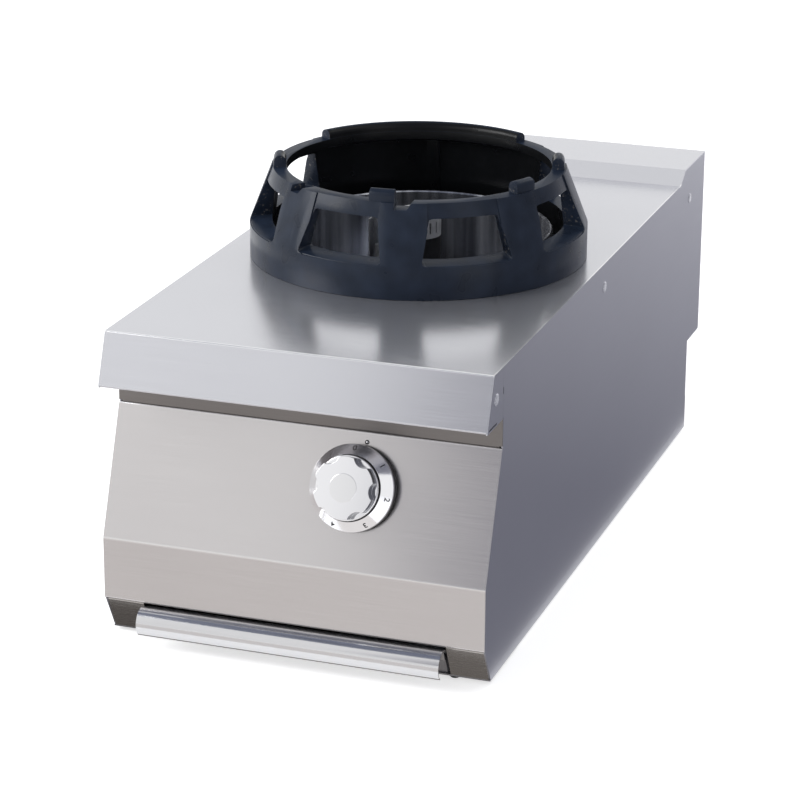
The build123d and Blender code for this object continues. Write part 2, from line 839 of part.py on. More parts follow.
# ---------------------------------------------------------------- gas line
def gas_valve():
    """Tap: bonnet through the panel's back, body, and three bosses."""
    body = Pos(0, 0, -sheet - bonnet_length - valve_depth / 2)
    body = body * Box(valve_width, valve_width, valve_depth)
    body = chamfer(body.edges().filter_by(Axis.Z), 5)
    body += Pos(0, 0, -sheet - bonnet_length / 2) * Cylinder(bonnet_radius, bonnet_length)
    inlet = Pos(0, -(valve_width + boss_length) / 2, -sheet - side_boss_depth)
    body += inlet * Rot(90, 0, 0) * Cylinder(boss_radius + 2, boss_length)
    rear = -sheet - bonnet_length - valve_depth
    body += Pos(0, 0, rear - boss_length / 2) * Cylinder(boss_radius, boss_length)
    for x in (-small_boss_x, small_boss_x):
        boss = Pos(x, (valve_width + small_boss_length) / 2, -sheet - small_boss_depth)
        body += boss * Rot(90, 0, 0) * Cylinder(small_boss_radius, small_boss_length)
    well = Pos(0, 0, -sheet - collar_well / 2) * Cylinder(collar_radius + collar_clearance,
                                                          collar_well)
    deep = stem_reach + push_travel + 2
    bore = Pos(0, 0, -sheet - deep / 2) * Cylinder(stem_radius + stem_clearance, deep)
    return knob_plane * (body - well - bore)


def push_collar():
    """Collar that rides in the bonnet and moves with the stem when it is pressed."""
    ring = Cylinder(collar_radius, collar_length) - Cylinder(stem_radius + stem_clearance,
                                                             collar_length + 1)
    return knob_plane * Pos(0, 0, collar_top - collar_length / 2) * ring


def valve_stem():
    stem = Pos(0, 0, (stem_top - stem_reach - sheet) / 2)
    stem = stem * Cylinder(stem_radius, stem_top + stem_reach + sheet)
    shoulder = Pos(0, 0, collar_top + panel_gap + 1) * Cylinder(stem_radius + 2.0, 2)
    return knob_plane * (stem + shoulder)


def burner_pipe():
    rear = -sheet - bonnet_length - valve_depth - boss_length
    start = knob_spot(0, 0, rear)
    second = knob_spot(0, 0, rear - 18)
    holder_back = ring_centre_back - holder_face - holder_length / 2
    end = (0, holder_back, -mixer_drop)
    corner = (0, second[1], -mixer_drop)
    return pipe([start, second, corner, end], burner_pipe_bend, burner_pipe_radius)


def supply_pipe():
    start = knob_spot(0, -(valve_width / 2 + boss_length), -sheet - side_boss_depth)
    fall = (supply_drop + start[2]) / slope_cos
    second = knob_spot(0, -(valve_width / 2 + boss_length) - fall, -sheet - side_boss_depth)
    third = (supply_x, second[1], -supply_drop)
    end = (supply_x, rear_inside - inlet_nut_length, -supply_drop)
    return pipe([start, second, third, end], supply_bend, supply_radius)


def inlet_fitting():
    """Threaded gas inlet at the rear with its nuts, one each side of the rear panel."""
    place = Pos(*spot(supply_x, rear_inside, -supply_drop)) * Rot(-90, 0, 0)
    reach = sheet + lock_nut_length + inlet_thread_length
    stub = Pos(0, 0, reach / 2) * Cylinder(inlet_thread_radius, reach)
    hexagon = RegularPolygon(inlet_nut_across / 2, 6, major_radius=False)
    nut = Pos(0, 0, -inlet_nut_length) * extrude(hexagon, inlet_nut_length)
    lock_nut = Pos(0, 0, sheet) * extrude(hexagon, lock_nut_length)
    return place * (stub + nut + lock_nut - Cylinder(inlet_bore_radius, 3 * reach))


def pipe_clips():
    clips = []
    for back in clip_backs:
        middle = spot(supply_x, back, -supply_drop)
        collar = Pos(*middle) * Rot(90, 0, 0) * Cylinder(supply_radius + clip_wall, clip_width)
        arm = block(supply_x, inner, back - clip_width / 2, back + clip_width / 2,
                    -supply_drop - clip_wall, -supply_drop + clip_wall)
        plate = block(inner - clip_wall, inner, back - clip_width / 2, back + clip_width / 2,
                      -supply_drop - 16, -supply_drop + 16)
        hole = Pos(*middle) * Rot(90, 0, 0) * Cylinder(supply_radius + 0.02, clip_width + 1)
        clips.append(collar + arm + plate - hole)
    return Compound(children=clips)


def thin_line(side, foot_x, radius):
    """Thin line from a boss on the tap, back under the bowl and up into its foot."""
    foot_back = ring_centre_back - pilot_setback
    points = [knob_spot(side, valve_width / 2 + small_boss_length, -sheet - small_boss_depth),
              knob_spot(side, valve_width / 2 + thin_rise, -sheet - small_boss_depth),
              (foot_x, thin_turn_back, -line_drop), (foot_x, foot_back, -line_drop),
              (foot_x, foot_back, -small_foot_drop)]
    return pipe(points, thin_bend, radius)


def pilot_pipe():
    return thin_line(-small_boss_x, pilot_x, pilot_pipe_radius)


def thermocouple_lead():
    return thin_line(small_boss_x, probe_x, lead_radius)


# ---------------------------------------------------------------- knob
def knob_grip():
    """Six-scalloped grip on a round skirt, bored for the stem."""
    skirt_top = grip_foot + grip_skirt_height
    top = Pos(0, 0, (skirt_top + grip_height) / 2)
    top = top * Cylinder(grip_radius, grip_height - skirt_top)
    for turn in range(scallop_count):
        angle = turn * 360 / scallop_count
        flute = Rot(0, 0, angle) * Pos(scallop_centre, 0, (skirt_top + grip_height) / 2)
        top -= flute * Cylinder(scallop_radius, grip_height - skirt_top + 0.01)
    top = chamfer(top.faces().sort_by(Axis.Z)[-1].edges(), grip_edge)
    grip = top + Pos(0, 0, grip_foot + grip_skirt_height / 2) * Cylinder(grip_skirt_radius,
                                                                         grip_skirt_height)
    grip += Pos(0, 0, grip_foot - neck_height / 2) * Cylinder(neck_radius, neck_height)
    grip -= Pos(0, 0, stem_top / 2) * Cylinder(stem_radius, stem_top + 0.002)
    grip -= Pos(0, 0, grip_height - disc_sink / 2) * Cylinder(disc_radius, disc_sink)
    return knob_plane * grip


def knob_disc():
    disc = Pos(0, 0, grip_height - disc_sink / 2) * Cylinder(disc_radius, disc_sink)
    return knob_plane * disc


def dial_ring():
    """Flared dial that turns with the grip and carries the figures, open to the panel."""
    edge_top = dial_gap + dial_edge
    inside = dial_radius - dial_wall
    profile = make_face(Polyline(
        (dial_inner_radius, dial_top - dial_wall), (grip_skirt_radius - 1, dial_top - dial_wall),
        (inside, edge_top - 1), (inside, dial_gap), (dial_radius, dial_gap),
        (dial_radius, edge_top), (dial_radius - 0.8, edge_top + 0.6),
        (grip_skirt_radius, dial_top), (dial_inner_radius, dial_top), close=True))
    ring = revolve(Plane.XZ * profile, Axis.Z, 360)
    web = Cylinder(dial_inner_radius + 1, dial_wall) - Cylinder(stem_radius, dial_wall + 1)
    return knob_plane * (ring + Pos(0, 0, dial_top - dial_wall / 2) * web)


def index_stud():
    head = Pos(stud_x, stud_up, stud_height / 2) * Cylinder(stud_radius, stud_height)
    pin = Pos(stud_x, stud_up, -1.5) * Cylinder(stud_radius / 2, 3)
    return knob_plane * (head + pin)


# ---------------------------------------------------------------- drip tray
def tray_front_at(up):
    """Outer face of the tray's sloped front wall at a height."""
    return tray_front_foot - apron_lean * (up - tray_floor)


def drip_tray():
    """Shallow pan, open above; its front wall slopes out with the apron."""
    back = tray_front_foot + tray_length
    rim = tray_floor + tray_height
    front_top = tray_floor + tray_front_height
    slope = tray_wall / math.cos(math.atan(apron_lean))
    floor = tray_floor + tray_wall
    over = rim + 1
    outside = side_face([(tray_front_at(tray_floor), tray_floor), (back, tray_floor),
                         (back, rim), (tray_front_at(rim) + slope, rim),
                         (tray_front_at(front_top) + slope, front_top),
                         (tray_front_at(front_top), front_top)])
    inside = side_face([(tray_front_at(floor) + slope, floor), (back - tray_wall, floor),
                        (back - tray_wall, over), (tray_front_at(over) + slope, over)])
    half_width = tray_width / 2
    return extrude(outside, half_width, both=True) \
        - extrude(inside, half_width - tray_wall, both=True)


def tray_handle():
    """Half-round rail hung on the tray's front wall, open along its lower edge."""
    top = handle_top_height - worktop_height
    foot = top - handle_height
    crest = (top + foot) / 2 + handle_crest_rise
    seat = tray_front_at(top)
    with BuildSketch(Plane.YZ) as section:
        with BuildLine():
            outer = ThreePointArc((y_of(seat), z_of(top)), (y_of(handle_front_back), z_of(crest)),
                                  (y_of(handle_foot_back), z_of(foot)))
            hem = Line(outer @ 1, (y_of(handle_foot_back + handle_wall), z_of(foot)))
            inner_arc = ThreePointArc(hem @ 1,
                                      (y_of(handle_front_back + handle_wall), z_of(crest)),
                                      (y_of(seat), z_of(top - handle_wall)))
            Line(inner_arc @ 1, outer @ 0)
        make_face()
    rail = extrude(section.sketch, handle_length / 2, both=True)
    low = top - handle_hook
    hook = side_face([(seat, top), (seat - handle_wall, top),
                      (tray_front_at(low) - handle_wall, low), (tray_front_at(low), low)])
    return rail + extrude(hook, tray_width / 2, both=True)


def tray_runners():
    """Two angles on the base panel that guide the tray."""
    runners = []
    for hand in (-1, 1):
        near = tray_width / 2 + runner_gap
        foot = block(hand * near, hand * (near + runner_width), apron_foot + 6, body_back - 60,
                     base_top, base_top + sheet)
        web = block(hand * near, hand * (near + sheet), apron_foot + 6, body_back - 60,
                    base_top, base_top + runner_height)
        runners.append(foot + web)
    return Compound(children=runners)


parts = {
    "worktop": worktop,
    "rear_upstand": rear_upstand,
    "left_side_panel": lambda: side_panel(-1),
    "right_side_panel": lambda: side_panel(1),
    "front_rail": lambda: front_rail() + rail_ends(),
    "control_panel": control_panel,
    "front_apron": front_apron,
    "base_panel": base_panel,
    "rear_panel": rear_panel,
    "base_glides": base_glides,
    "side_screws": side_screws,
    "wok_ring": wok_ring,
    "burner_bowl": burner_bowl,
    "bowl_screws": bowl_screws,
    "burner_body": burner_body,
    "burner_crown": burner_crown,
    "burner_cap": burner_cap,
    "burner_bracket": burner_bracket,
    "mixing_tube": mixing_tube,
    "air_shutter": air_shutter,
    "injector": injector,
    "injector_holder": injector_holder,
    "pilot_shield": pilot_shield,
    "pilot_burner": pilot_burner,
    "thermocouple": thermocouple,
    "gas_valve": gas_valve,
    "push_collar": push_collar,
    "valve_stem": valve_stem,
    "burner_pipe": burner_pipe,
    "supply_pipe": supply_pipe,
    "inlet_fitting": inlet_fitting,
    "pipe_clips": pipe_clips,
    "pilot_pipe": pilot_pipe,
    "thermocouple_lead": thermocouple_lead,
    "knob_grip": knob_grip,
    "knob_disc": knob_disc,
    "dial_ring": dial_ring,
    "index_stud": index_stud,
    "drip_tray": drip_tray,
    "tray_handle": tray_handle,
    "tray_runners": tray_runners,
}

os.makedirs("parts", exist_ok=True)
for name, make in parts.items():
    export_step(make(), f"parts/{name}.step")
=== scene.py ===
import json
import math

import bpy
from mathutils import Euler, Matrix, Vector


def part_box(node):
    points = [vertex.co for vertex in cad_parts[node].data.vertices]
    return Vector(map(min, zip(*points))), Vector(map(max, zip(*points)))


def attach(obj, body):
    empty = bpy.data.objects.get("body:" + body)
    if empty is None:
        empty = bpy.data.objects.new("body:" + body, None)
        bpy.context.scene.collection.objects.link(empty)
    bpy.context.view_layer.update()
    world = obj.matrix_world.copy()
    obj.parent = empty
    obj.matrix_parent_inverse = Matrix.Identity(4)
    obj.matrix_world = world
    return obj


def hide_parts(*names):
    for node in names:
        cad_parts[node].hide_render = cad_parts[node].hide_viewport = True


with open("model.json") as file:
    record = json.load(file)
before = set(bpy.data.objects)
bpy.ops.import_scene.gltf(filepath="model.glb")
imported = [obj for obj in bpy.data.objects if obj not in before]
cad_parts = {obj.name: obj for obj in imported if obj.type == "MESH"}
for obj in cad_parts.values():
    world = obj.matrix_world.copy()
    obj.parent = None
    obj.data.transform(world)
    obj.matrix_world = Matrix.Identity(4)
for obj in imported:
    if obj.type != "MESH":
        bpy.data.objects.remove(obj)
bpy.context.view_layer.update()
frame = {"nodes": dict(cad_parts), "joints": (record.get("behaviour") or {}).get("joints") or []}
bpy.ops.object.select_all(action="DESELECT")

# ---------------------------------------------------------------- camera
# A long lens stands a good three metres away, a little right of the range and well above
# it, so that the front, the right side and the inside of the ring all show.
camera_place = (0.97843, -2.92227, 1.22879)
camera_yaw = 0.3326
camera_pitch = 0.3397
camera_roll = 0.0059
camera_lens = 134.0

bpy.ops.object.camera_add(location=camera_place)
camera = bpy.context.object
camera.name = "photo_camera"
level = Euler((math.pi / 2 - camera_pitch, 0, camera_yaw)).to_matrix()
camera.rotation_euler = (level @ Matrix.Rotation(camera_roll, 3, "Z")).to_euler()
camera.data.lens = camera_lens
camera.data.sensor_width = 36.0
camera.data.clip_end = 50.0
bpy.context.scene.camera = camera


# ---------------------------------------------------------------- floor and light
# White paper under two soft boxes. The white of the background comes from what the camera
# and the mirror-like metal see; the light on the object stays at a plain level.
def linear(code):
    """Linear RGBA of an sRGB hex colour."""
    parts = [int(code[i:i + 2], 16) / 255 for i in (1, 3, 5)]
    return [p / 12.92 if p <= 0.04045 else ((p + 0.055) / 1.055) ** 2.4 for p in parts] + [1.0]


def set_inputs(tree, node, inputs):
    """Sets a node's sockets to values, or links them to outputs of other nodes.

    Sockets whose names repeat go by number. On a Mix node, 0 is the share, 2 and 3 are its
    numbers, and 6 and 7 its colours, which come out at 2. On a Map Range node, 0 is the
    value, which goes in from 1 to 2 and comes out from 3 to 4.
    """
    for name, value in inputs.items():
        if isinstance(value, bpy.types.NodeSocket):
            tree.links.new(value, node.inputs[name])
        else:
            node.inputs[name].default_value = value


def add_node(tree, kind, inputs, **settings):
    """Adds a node with its settings and its inputs."""
    made = tree.nodes.new(kind)
    for name, value in settings.items():
        setattr(made, name, value)
    set_inputs(tree, made, inputs)
    return made


def empty_tree(owner):
    """The node tree of a world or a material, with its default nodes taken out."""
    owner.use_nodes = True
    owner.node_tree.nodes.clear()
    return owner.node_tree


def seen_directly(tree):
    """1 for rays that show the background: camera, glossy and transmission rays."""
    path = add_node(tree, "ShaderNodeLightPath", {})
    shows = path.outputs["Is Camera Ray"]
    for other in ("Is Glossy Ray", "Is Transmission Ray"):
        shows = add_node(tree, "ShaderNodeMath", {0: shows, 1: path.outputs[other]},
                         operation="MAXIMUM").outputs[0]
    return shows


world = bpy.data.worlds.new("soft_studio")
bpy.context.scene.world = world
tree = empty_tree(world)
soft = add_node(tree, "ShaderNodeBackground", {"Color": linear("#f4f6fb"), "Strength": 0.60})
white = add_node(tree, "ShaderNodeBackground", {"Color": linear("#ffffff"), "Strength": 1.0})
both = add_node(tree, "ShaderNodeMixShader", {0: seen_directly(tree), 1: soft.outputs[0],
                                              2: white.outputs[0]})
add_node(tree, "ShaderNodeOutputWorld", {"Surface": both.outputs[0]})

floor_size = 14.0
bpy.ops.mesh.primitive_plane_add(size=floor_size)
floor = bpy.context.object
floor.name = "floor"
paper = bpy.data.materials.new("white_paper")
tree = empty_tree(paper)
matt = add_node(tree, "ShaderNodeBsdfDiffuse", {"Color": linear("#e6e6e6")})
glow = add_node(tree, "ShaderNodeEmission", {"Color": linear("#ffffff"), "Strength": 0.62})
lifted = add_node(tree, "ShaderNodeAddShader", {0: matt.outputs[0], 1: glow.outputs[0]})
both = add_node(tree, "ShaderNodeMixShader", {0: seen_directly(tree), 1: matt.outputs[0],
                                              2: lifted.outputs[0]})
add_node(tree, "ShaderNodeOutputMaterial", {"Surface": both.outputs[0]})
floor.data.materials.append(paper)


def soft_box(name, place, target, size, power):
    """A rectangular lamp of a width and height, turned towards a target."""
    bpy.ops.object.light_add(type="AREA", location=place)
    lamp = bpy.context.object
    lamp.name = name
    lamp.data.shape = "RECTANGLE"
    lamp.data.size, lamp.data.size_y = size
    lamp.data.energy = power
    lamp.rotation_euler = (Vector(target) - Vector(place)).to_track_quat("-Z", "Y").to_euler()


soft_box("left_soft_box", place=(-2.0, -1.3, 1.7), target=(0, -0.1, 0.2), size=(1.5, 1.5),
         power=40.0)
soft_box("rear_soft_box", place=(0.6, 2.4, 2.2), target=(0, 0, 0.3), size=(1.8, 1.0),
         power=20.0)
bpy.context.scene.view_settings.view_transform = "Standard"


def grey_card(name, low, high, grey, far_grey=None, fade=("Y", 0.0, 1.0)):
    """A card that only reflections see, between two corners that share one coordinate.

    Its tone can run to far_grey between two places along an axis.
    """
    bpy.ops.mesh.primitive_plane_add(size=1.0)
    card = bpy.context.object
    card.name = name
    flat = min(range(3), key=lambda i: high[i] - low[i])
    u, v = [i for i in range(3) if i != flat]
    for corner in card.data.vertices:
        to_high_u, to_high_v = corner.co.x > 0, corner.co.y > 0
        corner.co = low
        corner.co[u] = high[u] if to_high_u else low[u]
        corner.co[v] = high[v] if to_high_v else low[v]
    material = bpy.data.materials.new(name)
    tree = empty_tree(material)
    axis, start, end = fade
    place = add_node(tree, "ShaderNodeTexCoord", {}).outputs["Object"]
    along = add_node(tree, "ShaderNodeSeparateXYZ", {0: place}).outputs[axis]
    share = add_node(tree, "ShaderNodeMapRange", {0: along, 1: start, 2: end})
    tone = add_node(tree, "ShaderNodeMix", {0: share.outputs[0], 6: linear(grey),
                                            7: linear(far_grey or grey)}, data_type="RGBA")
    shine = add_node(tree, "ShaderNodeEmission", {"Color": tone.outputs[2]})
    add_node(tree, "ShaderNodeOutputMaterial", {"Surface": shine.outputs[0]})
    card.data.materials.append(material)
    card.visible_camera = False
    card.visible_diffuse = False
    card.visible_transmission = False
    card.visible_shadow = False


# Cards overhead, beside the range and on the floor give the steel something to mirror, as
# in a studio. Those on the floor lie just above the paper.
card_up = 0.0015
apron_card_up = 0.0016
grey_card("ceiling_card", (-2.0, -2.0, 2.4), (1.5, -0.35, 2.4), "#70768a")
grey_card("ceiling_gap", (-0.87, -1.5, 2.39), (-0.80, -0.9, 2.39), "#20262f")
grey_card("right_wall_card", (1.3, -0.6, 0.0), (1.3, 2.0, 1.6), "#8f9099")
grey_card("right_floor_card", (0.21, -0.5, card_up), (1.3, 1.7, card_up),
          "#8a8b96", "#e8e8ee", fade=("Y", 0.15, 1.55))
grey_card("front_right_card", (-0.36, -1.3, 0.25), (1.2, -1.3, 1.7),
          "#ffffff", "#a3a3ab", fade=("X", -0.27, -0.07))
grey_card("rear_right_card", (0.0, 1.75, 0.1), (1.3, 1.75, 1.6), "#d2d2d9")
grey_card("front_floor_card", (-1.5, -1.3, card_up), (0.2, -0.47, card_up), "#eeeae8")
# Under the apron a dark card: painted shadow, for the shaded floor that the apron mirrors.
grey_card("apron_floor_card", (-0.34, -0.425, apron_card_up), (0.2, -0.30, apron_card_up),
          "#66625f", "#8d8986", fade=("X", -0.25, 0.15))


# ---------------------------------------------------------------- casing sheets
# Folded sheets of 304 stainless steel, belt-brushed along the range's width and left bare.
# The worktop and its nose are one sheet; the control panel and the rear hood are others.
def new_material(name):
    """A new material, its node tree and its Principled shader."""
    material = bpy.data.materials.new(name)
    material.use_nodes = True
    return material, material.node_tree, material.node_tree.nodes["Principled BSDF"]


def brushed_steel(name, light, dark, grain, rough, bump=0.04, bare=0.92, fold_highlights=()):
    """Belt-brushed 304 sheet; grain gives its streaks per metre along X, Y and Z.

    The real scratches are under 0.1 mm; they are drawn about 1 mm wide, to show. Cloudy
    patches of 200 mm come from the rolling. `bare` is the metallic share, and the rest is
    haze. Each fold has the axes across it, a place on its line and how bright a highlight is
    painted along it, for the light that the fold's narrow round edge catches.
    """
    scratch_depth = 0.0002
    fold_core, fold_edge = 0.0008, 0.0018       # painted highlight full up to there, and gone at there
    material, tree, shader = new_material(name)
    place = add_node(tree, "ShaderNodeTexCoord", {}).outputs["Object"]
    drawn = add_node(tree, "ShaderNodeMapping", {"Vector": place, "Scale": grain})
    streak = add_node(tree, "ShaderNodeTexNoise", {"Vector": drawn.outputs[0], "Scale": 1.0,
                                                   "Detail": 4.0, "Roughness": 0.65})
    cloud = add_node(tree, "ShaderNodeTexNoise", {"Vector": place, "Scale": 1000.0 / 200,
                                                  "Detail": 2.0})
    tone = add_node(tree, "ShaderNodeMix", {0: 0.35, 2: streak.outputs[0], 3: cloud.outputs[0]})
    tint = add_node(tree, "ShaderNodeMix", {0: tone.outputs[0], 6: linear(dark),
                                            7: linear(light)}, data_type="RGBA").outputs[2]
    # Painted highlight: along each fold's line the colour is mixed towards white.
    for across, line, sheen in fold_highlights:
        flat = add_node(tree, "ShaderNodeVectorMath", {0: place, 1: across},
                        operation="MULTIPLY")
        away = add_node(tree, "ShaderNodeVectorMath", {0: flat.outputs[0], 1: line},
                        operation="DISTANCE")
        share = add_node(tree, "ShaderNodeMapRange", {0: away.outputs["Value"], 1: fold_core,
                                                      2: fold_edge, 3: sheen, 4: 0.0})
        tint = add_node(tree, "ShaderNodeMix", {0: share.outputs[0], 6: tint,
                                                7: linear("#ffffff")},
                        data_type="RGBA").outputs[2]
    gloss = add_node(tree, "ShaderNodeMapRange", {0: streak.outputs[0], 1: 0.3, 2: 0.7,
                                                  3: rough[0], 4: rough[1]})
    relief = add_node(tree, "ShaderNodeBump", {"Height": streak.outputs[0], "Strength": bump,
                                               "Distance": scratch_depth})
    set_inputs(tree, shader, {"Base Color": tint, "Roughness": gloss.outputs[0],
                              "Normal": relief.outputs[0], "Metallic": bare})
    return material


def finish(piece, *looks):
    """Gives a piece or a carried-over node its materials, and no others."""
    piece.data.materials.clear()
    for look in looks:
        piece.data.materials.append(look)


across_x = (11.0, 900.0, 900.0)      # per metre: streaks 90 mm long and 1.1 mm wide
along_y = (900.0, 11.0, 900.0)
nose_lean = 0.020                    # the nose's foot stands out of its top edge by this
slope_run = 0.047                    # the control panel's slope, from its foot to its top
slope_drop = 0.129
worktop_low, worktop_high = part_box("worktop")
panel_low, panel_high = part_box("control_panel")
across_front = (0, 1, 1)
across_side = (1, 0, 1)
# Painted highlights along the folds, for the light on their narrow round edges.
top_fold_highlights = [(across_front, (0, worktop_low.y + nose_lean, worktop_high.z), 0.7),
             (across_front, (0, worktop_low.y, worktop_low.z), 0.7),
             (across_side, (worktop_high.x, 0, worktop_high.z), 0.7)]
panel_fold_highlights = [(across_front, (0, panel_low.y + slope_run, panel_high.z), 0.7),
               (across_front, (0, panel_low.y, panel_high.z - slope_drop), 0.25)]
# The worktop is the palest and smoothest: it mirrors the ring softly, with fine streaks.
top_steel = brushed_steel("brushed_stainless", "#d6d7dc", "#c6c6cb", across_x, (0.17, 0.26),
                          0.04, 0.8, top_fold_highlights)
# The control panel has the same soft streaks and is a little warmer in tone.
panel_steel = brushed_steel("warm_brushed_stainless", "#d2cfcf", "#c2bfbf", across_x,
                            (0.18, 0.26), 0.04, 0.92, panel_fold_highlights)
# The apron slopes under the range and is duller than the panel. Its colour is painted
# darker, as shade on a sheet that faces down.
apron_steel = brushed_steel("apron_stainless", "#b2aeab", "#a29e9b", across_x, (0.22, 0.30))
# The sides are brushed from front to back, so their reflections run together into a grey.
# Their colour is also painted darker than the worktop's, as shade on the sides.
side_steel = brushed_steel("side_stainless", "#b6b6be", "#a8a8b0", along_y, (0.34, 0.42))
# The sheets behind and below are left duller, with hardly a reflection.
back_steel = brushed_steel("rear_stainless", "#b9b9be", "#a9a9ae", across_x, (0.30, 0.40))
# The rail lies in a recess and is duller, of a warmer grey. Its darker tone is painted
# shade for the recess.
dark_steel = brushed_steel("shaded_stainless", "#85817f", "#706c6a", across_x, (0.36, 0.46))
nodes = frame["nodes"]
finish(nodes["worktop"], top_steel, side_steel)
finish(nodes["rear_upstand"], top_steel)
finish(nodes["control_panel"], panel_steel)
finish(nodes["front_apron"], apron_steel)
finish(nodes["front_rail"], dark_steel)
for name in ("left_side_panel", "right_side_panel"):
    finish(nodes[name], side_steel)
for name in ("base_panel", "rear_panel", "drip_tray", "tray_runners", "burner_bracket"):
    finish(nodes[name], back_steel)
# The nose's cheeks lie flush with the side panels and are brushed like them, and carry the
# same painted shade.
faces_sideways = 0.99
for face in nodes["worktop"].data.polygons:
    if abs(face.normal.x) > faces_sideways:
        face.material_index = 1


# ---------------------------------------------------------------- plated and drawn pieces
# Screws, tubes and fittings, mostly under the worktop: zinc-plated steel, drawn copper,
# turned brass and a cast tap, with a fine even grain and a little tarnish.
def plain_metal(name, light, dark, rough, grit_mm=3.0, bump=0.1, metallic=1.0):
    """Metal with a fine speckled tarnish; grit_mm is the size of its spots."""
    grit_depth = 0.0002
    material, tree, shader = new_material(name)
    place = add_node(tree, "ShaderNodeTexCoord", {}).outputs["Object"]
    spots = add_node(tree, "ShaderNodeTexNoise", {"Vector": place, "Scale": 1000.0 / grit_mm,
                                                  "Detail": 3.0})
    tint = add_node(tree, "ShaderNodeMix", {0: spots.outputs[0], 6: linear(dark),
                                            7: linear(light)}, data_type="RGBA")
    gloss = add_node(tree, "ShaderNodeMapRange", {0: spots.outputs[0], 1: 0.3, 2: 0.7,
                                                  3: rough[0], 4: rough[1]})
    relief = add_node(tree, "ShaderNodeBump", {"Height": spots.outputs[0], "Strength": bump,
                                               "Distance": grit_depth})
    set_inputs(tree, shader, {"Base Color": tint.outputs[2], "Roughness": gloss.outputs[0],
                              "Normal": relief.outputs[0], "Metallic": metallic})
    return material


# Zinc is a light grey with milky spots, brass a soft machined yellow, copper a red-brown
# dulled by the air, and the cast tap a grainy grey.
zinc = plain_metal("zinc_plated_steel", "#bfc1c4", "#a4a6a9", (0.28, 0.42))
brass = plain_metal("turned_brass", "#c9a65a", "#ab8a47", (0.22, 0.36))
copper = plain_metal("drawn_copper", "#c9805c", "#a9623f", (0.25, 0.42))
tap_alloy = plain_metal("cast_aluminium", "#a5a5a6", "#8b8b8d", (0.45, 0.6), 1.5, 0.3)
# The domed heads on the sides are polished stainless. Their colour is painted near white,
# as painted highlight for the glints that they catch from the lamps.
screw_steel = plain_metal("polished_stainless_head", "#eeeef1", "#dedee2", (0.22, 0.3), 1.5,
                          0.2, metallic=0.6)
small_pieces = (
    (zinc, ("bowl_screws", "mixing_tube", "air_shutter", "pilot_shield", "pilot_burner",
            "thermocouple", "valve_stem", "supply_pipe", "pipe_clips")),
    (brass, ("injector", "injector_holder", "inlet_fitting", "push_collar")),
    (copper, ("burner_pipe", "pilot_pipe", "thermocouple_lead")),
    (tap_alloy, ("gas_valve",)),
    (screw_steel, ("side_screws",)),
)
for metal, names in small_pieces:
    for name in names:
        finish(nodes[name], metal)


# ---------------------------------------------------------------- glides
# Four low domed glides of hard black rubber, moulded and fixed under the base sheet. Their
# dull skin shows hardly any grain.
def matt_black(name, colour, rough):
    """A black with no colour variation, whose gloss varies over grains of 1 mm."""
    grain_mm = 1.0
    spread = 0.08
    material, tree, shader = new_material(name)
    place = add_node(tree, "ShaderNodeTexCoord", {}).outputs["Object"]
    grains = add_node(tree, "ShaderNodeTexNoise", {"Vector": place, "Scale": 1000.0 / grain_mm})
    gloss = add_node(tree, "ShaderNodeMapRange", {0: grains.outputs[0], 3: rough - spread,
                                                  4: rough + spread})
    set_inputs(tree, shader, {"Base Color": linear(colour), "Roughness": gloss.outputs[0]})
    return material


finish(nodes["base_glides"], matt_black("moulded_rubber", "#1c1c1d", 0.65))

# ---------------------------------------------------------------- bowl
# A bowl spun from stainless sheet, with a rolled rim and polished inside, in pale and dark
# streaks of painted reflection. Its collar lies on the worktop and is held by four screws.
bowl_low, bowl_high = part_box("burner_bowl")
burner_y = (bowl_low.y + bowl_high.y) / 2


def spun_steel(name, light, dark, rough):
    """Polished spun sheet, with soft pale and dark streaks up its wall: painted reflections.

    The streaks are drawn about 15 mm wide, to show, and run the wall's full height.
    """
    streaks = (9.0, 2.0, 1.0)        # per radian round the bowl, and per metre up its wall
    material, tree, shader = new_material(name)
    place = add_node(tree, "ShaderNodeTexCoord", {}).outputs["Object"]
    part = add_node(tree, "ShaderNodeSeparateXYZ", {0: place})
    back = add_node(tree, "ShaderNodeMath", {0: part.outputs["Y"], 1: burner_y},
                    operation="SUBTRACT")
    turn = add_node(tree, "ShaderNodeMath", {0: back.outputs[0], 1: part.outputs["X"]},
                    operation="ARCTAN2")
    round_it = add_node(tree, "ShaderNodeCombineXYZ", {0: turn.outputs[0],
                                                       1: part.outputs["Z"]})
    drawn = add_node(tree, "ShaderNodeMapping", {"Vector": round_it.outputs[0],
                                                 "Scale": streaks})
    streak = add_node(tree, "ShaderNodeTexNoise", {"Vector": drawn.outputs[0], "Scale": 1.0,
                                                   "Detail": 4.0})
    share = add_node(tree, "ShaderNodeMapRange", {0: streak.outputs[0], 1: 0.35, 2: 0.65})
    tint = add_node(tree, "ShaderNodeMix", {0: share.outputs[0], 6: linear(dark),
                                            7: linear(light)}, data_type="RGBA")
    gloss = add_node(tree, "ShaderNodeMapRange", {0: streak.outputs[0], 1: 0.3, 2: 0.7,
                                                  3: rough[0], 4: rough[1]})
    set_inputs(tree, shader, {"Base Color": tint.outputs[2], "Roughness": gloss.outputs[0],
                              "Metallic": 0.85})
    return material


bowl_steel = spun_steel("polished_spun_stainless", "#c8cad0", "#6c6f78", (0.16, 0.26))
finish(nodes["burner_bowl"], bowl_steel)


